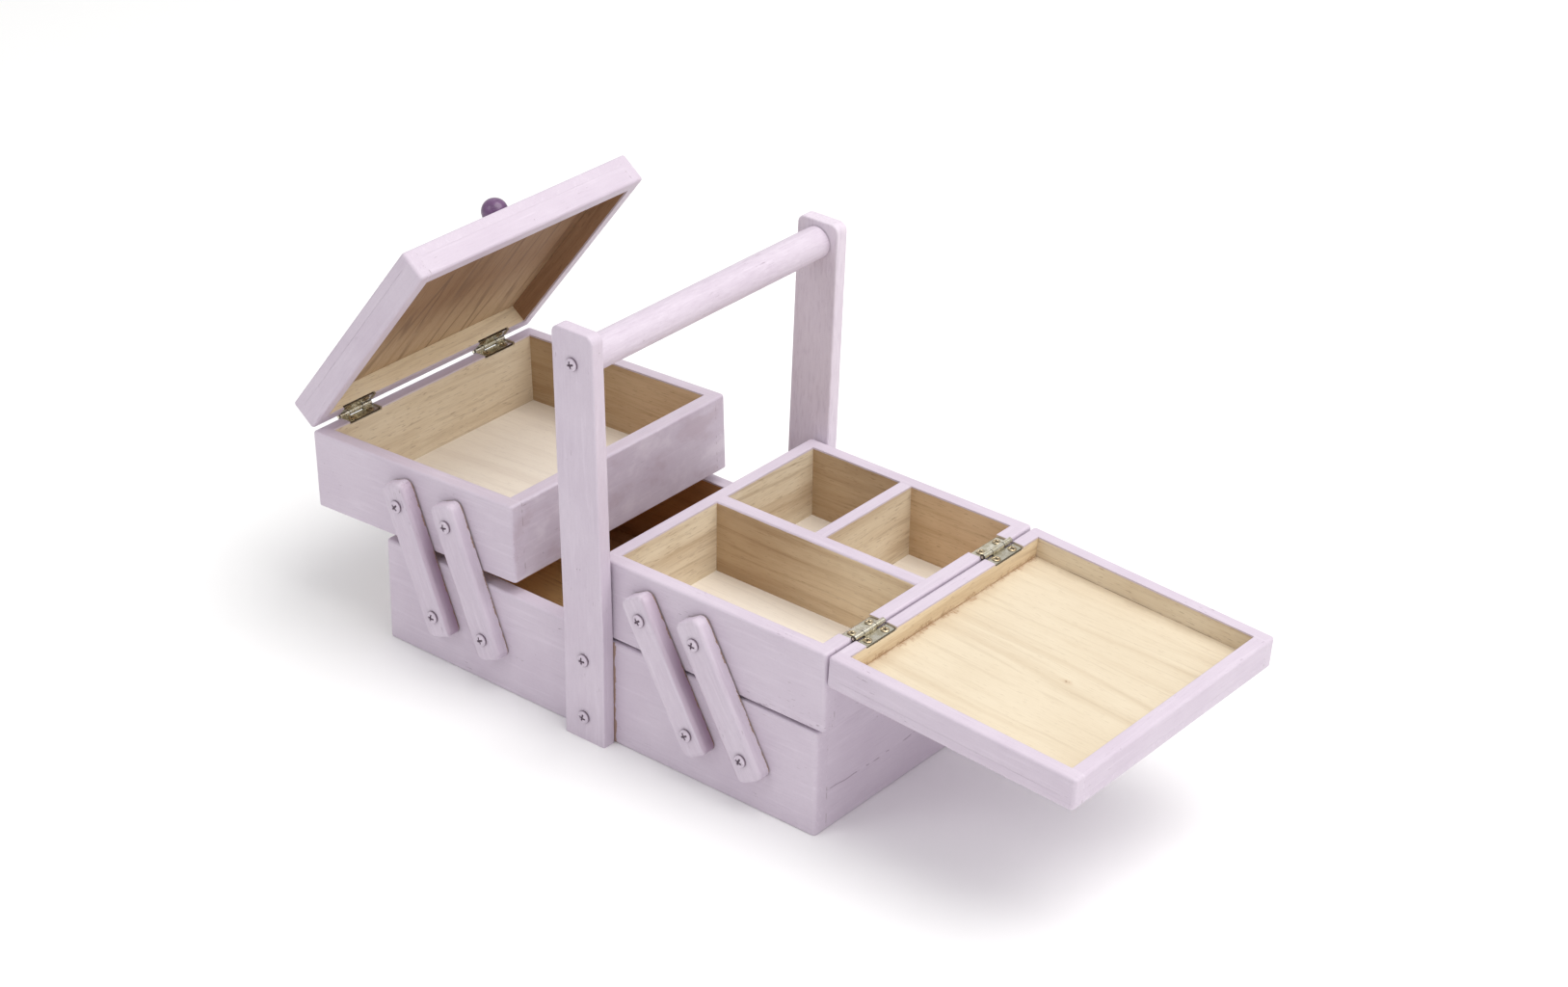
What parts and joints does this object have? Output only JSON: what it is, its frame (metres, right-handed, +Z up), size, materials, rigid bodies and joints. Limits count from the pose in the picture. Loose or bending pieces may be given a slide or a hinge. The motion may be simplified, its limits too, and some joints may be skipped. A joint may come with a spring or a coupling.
{
  "type": "sewing box with trays",
  "caption": "Wooden cantilever sewing box: a base with an arched carrying handle and two lidded trays that swing out and up on arms.",
  "frame": {"origin": "centre of the base's bottom face", "axes": "+Z up, +X along the base towards the tray with dividers, -Y towards the front"},
  "size_m": [0.4364, 0.1714, 0.2008],
  "materials": {
    "painted_wood": "matt lilac paint outside, bare wood inside",
    "bare_wood": "bare",
    "knob_paint": "satin dark purple paint",
    "painted_screw": "lilac paint over the head",
    "hinge_metal": "nickel plated"
  },
  "bodies": {
    "base": {"base_front": "painted_wood", "base_back": "painted_wood", "base_left_end": "painted_wood", "base_right_end": "painted_wood", "base_floor": "bare_wood", "upright_front": "painted_wood", "upright_back": "painted_wood", "handle_bar": "painted_wood", "bar_screws": "painted_screw", "upright_screws": "painted_screw", "left_base_pivot_screws": "painted_screw", "right_base_pivot_screws": "painted_screw"},
    "right_inner_arm_front": {"right_inner_arm_front": "painted_wood"},
    "right_inner_arm_back": {"right_inner_arm_back": "painted_wood"},
    "right_outer_arm_front": {"right_outer_arm_front": "painted_wood"},
    "right_outer_arm_back": {"right_outer_arm_back": "painted_wood"},
    "left_inner_arm_front": {"left_inner_arm_front": "painted_wood"},
    "left_inner_arm_back": {"left_inner_arm_back": "painted_wood"},
    "left_outer_arm_front": {"left_outer_arm_front": "painted_wood"},
    "left_outer_arm_back": {"left_outer_arm_back": "painted_wood"},
    "right_tray": {"right_tray_front": "painted_wood", "right_tray_back": "painted_wood", "right_tray_inner": "painted_wood", "right_tray_outer": "painted_wood", "right_tray_floor": "bare_wood", "right_hinge_tray_leaves": "hinge_metal", "right_hinge_pins": "hinge_metal", "right_tray_leaf_screws": "hinge_metal", "right_tray_pivot_screws": "painted_screw", "right_tray_long_divider": "painted_wood", "right_tray_short_divider": "painted_wood"},
    "right_lid": {"right_lid_front_rail": "painted_wood", "right_lid_back_rail": "painted_wood", "right_lid_free_rail": "painted_wood", "right_lid_hinge_rail": "painted_wood", "right_lid_panel": "painted_wood", "right_knob": "knob_paint", "right_hinge_lid_leaves": "hinge_metal", "right_lid_leaf_screws": "hinge_metal"},
    "left_tray": {"left_tray_front": "painted_wood", "left_tray_back": "painted_wood", "left_tray_inner": "painted_wood", "left_tray_outer": "painted_wood", "left_tray_floor": "bare_wood", "left_hinge_tray_leaves": "hinge_metal", "left_hinge_pins": "hinge_metal", "left_tray_leaf_screws": "hinge_metal", "left_tray_pivot_screws": "painted_screw"},
    "left_lid": {"left_lid_front_rail": "painted_wood", "left_lid_back_rail": "painted_wood", "left_lid_free_rail": "painted_wood", "left_lid_hinge_rail": "painted_wood", "left_lid_panel": "painted_wood", "left_knob": "knob_paint", "left_hinge_lid_leaves": "hinge_metal", "left_lid_leaf_screws": "hinge_metal"}
  },
  "joints": [
    {"name": "right_fold", "type": "hinge", "parent": "base", "child": "right_outer_arm_front", "pos_m": [0.0903, 0, 0.0266], "axis": [0, 1, 0], "range_deg": [-2.51, 61.5]},
    {"name": "right_outer_back_swing", "type": "hinge", "parent": "base", "child": "right_outer_arm_back", "pos_m": [0.0903, 0, 0.0266], "axis": [0, 1, 0], "range_deg": [-2.53, 61.52]},
    {"name": "right_inner_front_swing", "type": "hinge", "parent": "base", "child": "right_inner_arm_front", "pos_m": [0.06, 0, 0.0266], "axis": [0, 1, 0], "range_deg": [-2.53, 61.52]},
    {"name": "right_inner_back_swing", "type": "hinge", "parent": "base", "child": "right_inner_arm_back", "pos_m": [0.06, 0, 0.0266], "axis": [0, 1, 0], "range_deg": [-2.53, 61.52]},
    {"name": "right_tray_swing", "type": "hinge", "parent": "right_outer_arm_front", "child": "right_tray", "pos_m": [0.06401, 0, 0.07308], "axis": [0, 1, 0], "range_deg": [-61.52, 2.53]},
    {"name": "right_lid_hinge", "type": "hinge", "parent": "right_tray", "child": "right_lid", "pos_m": [0.12956, 0, 0.09075], "axis": [0, 1, 0], "range_deg": [-183.4, 0]},
    {"name": "left_fold", "type": "hinge", "parent": "base", "child": "left_outer_arm_front", "pos_m": [-0.0903, 0, 0.0266], "axis": [0, -1, 0], "range_deg": [-53.14, 7]},
    {"name": "left_outer_back_swing", "type": "hinge", "parent": "base", "child": "left_outer_arm_back", "pos_m": [-0.0903, 0, 0.0266], "axis": [0, -1, 0], "range_deg": [-53.16, 7.02]},
    {"name": "left_inner_front_swing", "type": "hinge", "parent": "base", "child": "left_inner_arm_front", "pos_m": [-0.06, 0, 0.0266], "axis": [0, -1, 0], "range_deg": [-53.16, 7.02]},
    {"name": "left_inner_back_swing", "type": "hinge", "parent": "base", "child": "left_inner_arm_back", "pos_m": [-0.06, 0, 0.0266], "axis": [0, -1, 0], "range_deg": [-53.16, 7.02]},
    {"name": "left_tray_swing", "type": "hinge", "parent": "left_outer_arm_front", "child": "left_tray", "pos_m": [-0.1106, 0, 0.07599], "axis": [0, -1, 0], "range_deg": [-6.71, 50.81]},
    {"name": "left_lid_hinge", "type": "hinge", "parent": "left_tray", "child": "left_lid", "pos_m": [-0.17155, 0, 0.09058], "axis": [0, -1, 0], "range_deg": [-50.3, 133.1]}
  ],
  "couplings": [
    {"joint": "right_outer_back_swing", "follows": "right_fold", "ratio": 1},
    {"joint": "right_inner_front_swing", "follows": "right_fold", "ratio": 1},
    {"joint": "right_inner_back_swing", "follows": "right_fold", "ratio": 1},
    {"joint": "right_tray_swing", "follows": "right_fold", "ratio": -1},
    {"joint": "left_outer_back_swing", "follows": "left_fold", "ratio": 1},
    {"joint": "left_inner_front_swing", "follows": "left_fold", "ratio": 1},
    {"joint": "left_inner_back_swing", "follows": "left_fold", "ratio": 1},
    {"joint": "left_tray_swing", "follows": "left_fold", "ratio": -0.95577}
  ]
}
